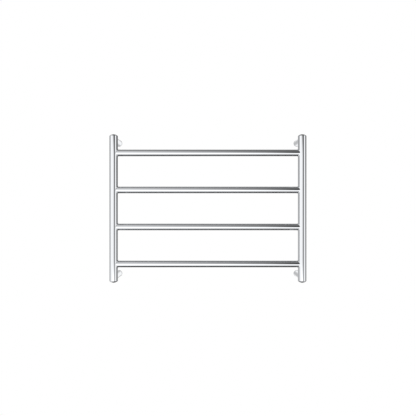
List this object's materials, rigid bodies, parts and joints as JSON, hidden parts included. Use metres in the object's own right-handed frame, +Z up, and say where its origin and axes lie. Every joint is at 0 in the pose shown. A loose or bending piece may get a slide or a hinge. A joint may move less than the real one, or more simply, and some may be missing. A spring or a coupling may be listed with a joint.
{
  "type": "towel warmer rack",
  "caption": "Wall-hung heated towel ladder: round posts with domed ends, straight round bars between them, and short legs that slip over wall bosses.",
  "frame": {"origin": "middle of the rack, left to right and top to bottom, on the plane of the wall that it hangs on", "axes": "+X to the right seen from the front, along the bars; +Y into the wall; +Z up along the posts; the front faces -Y"},
  "size_m": [0.75, 0.12, 0.565],
  "materials": {
    "polished_stainless": "polished",
    "turned_stainless": "satin",
    "screw_steel": "satin",
    "seal_rubber": "matte",
    "heating_silicone": "satin",
    "flex_sheath": "satin",
    "heat_shrink": "matte",
    "tinned_brass": "satin",
    "earth_insulation": "satin"
  },
  "bodies": {
    "wall_brackets": {"upper_left_wall_boss": "turned_stainless", "upper_right_wall_boss": "turned_stainless", "lower_left_wall_boss": "turned_stainless", "lower_right_wall_boss": "turned_stainless", "cable_grommet": "seal_rubber"},
    "rack": {"left_post": "polished_stainless", "right_post": "polished_stainless", "towel_bar_1": "polished_stainless", "towel_bar_2": "polished_stainless", "towel_bar_3": "polished_stainless", "towel_bar_4": "polished_stainless", "upper_left_leg": "polished_stainless", "upper_right_leg": "polished_stainless", "lower_left_leg": "polished_stainless", "lower_right_leg": "polished_stainless", "upper_left_end_cap": "polished_stainless", "upper_right_end_cap": "polished_stainless", "lower_left_end_cap": "polished_stainless", "lower_right_end_cap": "polished_stainless", "upper_left_cap_seal": "seal_rubber", "upper_right_cap_seal": "seal_rubber", "lower_left_cap_seal": "seal_rubber", "lower_right_cap_seal": "seal_rubber", "supply_flex": "flex_sheath", "splice_sleeve": "heat_shrink", "heating_cable": "heating_silicone", "heating_cable_end_seal": "heat_shrink", "earth_plate": "turned_stainless", "earth_screw": "screw_steel", "earth_tag": "tinned_brass", "earth_wire": "earth_insulation"},
    "upper_left_grub": {"upper_left_grub_screw": "screw_steel"},
    "upper_right_grub": {"upper_right_grub_screw": "screw_steel"},
    "lower_left_grub": {"lower_left_grub_screw": "screw_steel"},
    "lower_right_grub": {"lower_right_grub_screw": "screw_steel"}
  },
  "joints": [
    {"name": "rack_pull_off", "type": "slide", "parent": "wall_brackets", "child": "rack", "axis": [0, -1, 0], "range_m": [0, 0.04]},
    {"name": "upper_left_grub_turn", "type": "hinge", "parent": "rack", "child": "upper_left_grub", "pos_m": [-0.359, -0.014, 0.2515], "axis": [0, 0, 1], "range_deg": [0, 1080]},
    {"name": "upper_right_grub_turn", "type": "hinge", "parent": "rack", "child": "upper_right_grub", "pos_m": [0.359, -0.014, 0.2515], "axis": [0, 0, 1], "range_deg": [0, 1080]},
    {"name": "lower_left_grub_turn", "type": "hinge", "parent": "rack", "child": "lower_left_grub", "pos_m": [-0.359, -0.014, -0.2735], "axis": [0, 0, 1], "range_deg": [0, 1080]},
    {"name": "lower_right_grub_turn", "type": "hinge", "parent": "rack", "child": "lower_right_grub", "pos_m": [0.359, -0.014, -0.2735], "axis": [0, 0, 1], "range_deg": [0, 1080]}
  ]
}
